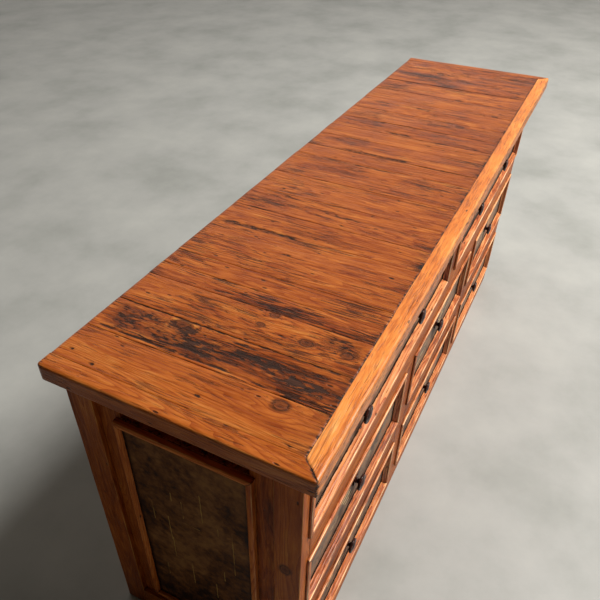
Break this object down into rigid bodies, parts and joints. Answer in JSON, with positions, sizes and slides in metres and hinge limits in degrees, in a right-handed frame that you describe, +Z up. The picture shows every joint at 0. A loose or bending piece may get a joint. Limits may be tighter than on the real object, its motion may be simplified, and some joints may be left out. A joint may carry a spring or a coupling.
{
  "type": "sideboard",
  "caption": "Long pine sideboard with slate-faced drawers in three rows, slate end panels, iron knobs and an overhanging framed plank top.",
  "frame": {"origin": "centre of the bounding box's underside, on the floor below the middle of the piece", "axes": "+X along the length to the right as seen from the front, -Y out of the drawer fronts, +Z up"},
  "size_m": [1.951, 0.518, 0.85],
  "materials": {
    "pine_top": "waxed",
    "pine_carcass": "waxed",
    "pine_inside": "bare",
    "slate": "honed",
    "iron": "black, waxed"
  },
  "bodies": {
    "carcass": {"top_front_rail": "pine_top", "top_end_rail_left": "pine_top", "top_end_rail_right": "pine_top", "top_boards": "pine_top", "front_rail_bottom": "pine_carcass", "front_rail_middle": "pine_carcass", "front_rail_upper": "pine_carcass", "front_rail_top": "pine_carcass", "muntin_top_row": "pine_carcass", "muntin_lower_left": "pine_carcass", "muntin_lower_right": "pine_carcass", "post_front_left": "pine_carcass", "post_front_right": "pine_carcass", "post_back_left": "pine_carcass", "post_back_right": "pine_carcass", "end_frame_left": "pine_carcass", "end_moulding_left": "pine_carcass", "end_slate_left": "slate", "end_frame_right": "pine_carcass", "end_moulding_right": "pine_carcass", "end_slate_right": "slate", "back_frame": "pine_inside", "back_boards": "pine_inside", "drawer_runners": "pine_inside", "drawer_guides": "pine_inside", "top_kickers": "pine_inside", "bottom_boards": "pine_inside", "bottom_ledgers": "pine_inside"},
    "drawer_top_a": {"drawer_top_a_front": "pine_carcass", "drawer_top_a_slate": "slate", "drawer_top_a_box": "pine_inside", "drawer_top_a_knobs": "iron"},
    "drawer_top_b": {"drawer_top_b_front": "pine_carcass", "drawer_top_b_slate": "slate", "drawer_top_b_box": "pine_inside", "drawer_top_b_knobs": "iron"},
    "drawer_middle_a": {"drawer_middle_a_front": "pine_carcass", "drawer_middle_a_slate": "slate", "drawer_middle_a_box": "pine_inside", "drawer_middle_a_knob": "iron"},
    "drawer_middle_b": {"drawer_middle_b_front": "pine_carcass", "drawer_middle_b_slate": "slate", "drawer_middle_b_box": "pine_inside", "drawer_middle_b_knob": "iron"},
    "drawer_middle_c": {"drawer_middle_c_front": "pine_carcass", "drawer_middle_c_slate": "slate", "drawer_middle_c_box": "pine_inside", "drawer_middle_c_knob": "iron"},
    "drawer_low_a": {"drawer_low_a_front": "pine_carcass", "drawer_low_a_slate": "slate", "drawer_low_a_box": "pine_inside", "drawer_low_a_knob": "iron"},
    "drawer_low_b": {"drawer_low_b_front": "pine_carcass", "drawer_low_b_slate": "slate", "drawer_low_b_box": "pine_inside", "drawer_low_b_knob": "iron"},
    "drawer_low_c": {"drawer_low_c_front": "pine_carcass", "drawer_low_c_slate": "slate", "drawer_low_c_box": "pine_inside", "drawer_low_c_knob": "iron"}
  },
  "joints": [
    {"name": "drawer_top_a_slide", "type": "slide", "parent": "carcass", "child": "drawer_top_a", "axis": [0, -1, 0], "range_m": [0, 0.3]},
    {"name": "drawer_top_b_slide", "type": "slide", "parent": "carcass", "child": "drawer_top_b", "axis": [0, -1, 0], "range_m": [0, 0.3]},
    {"name": "drawer_middle_a_slide", "type": "slide", "parent": "carcass", "child": "drawer_middle_a", "axis": [0, -1, 0], "range_m": [0, 0.3]},
    {"name": "drawer_middle_b_slide", "type": "slide", "parent": "carcass", "child": "drawer_middle_b", "axis": [0, -1, 0], "range_m": [0, 0.3]},
    {"name": "drawer_middle_c_slide", "type": "slide", "parent": "carcass", "child": "drawer_middle_c", "axis": [0, -1, 0], "range_m": [0, 0.3]},
    {"name": "drawer_low_a_slide", "type": "slide", "parent": "carcass", "child": "drawer_low_a", "axis": [0, -1, 0], "range_m": [0, 0.3]},
    {"name": "drawer_low_b_slide", "type": "slide", "parent": "carcass", "child": "drawer_low_b", "axis": [0, -1, 0], "range_m": [0, 0.3]},
    {"name": "drawer_low_c_slide", "type": "slide", "parent": "carcass", "child": "drawer_low_c", "axis": [0, -1, 0], "range_m": [0, 0.3]}
  ]
}
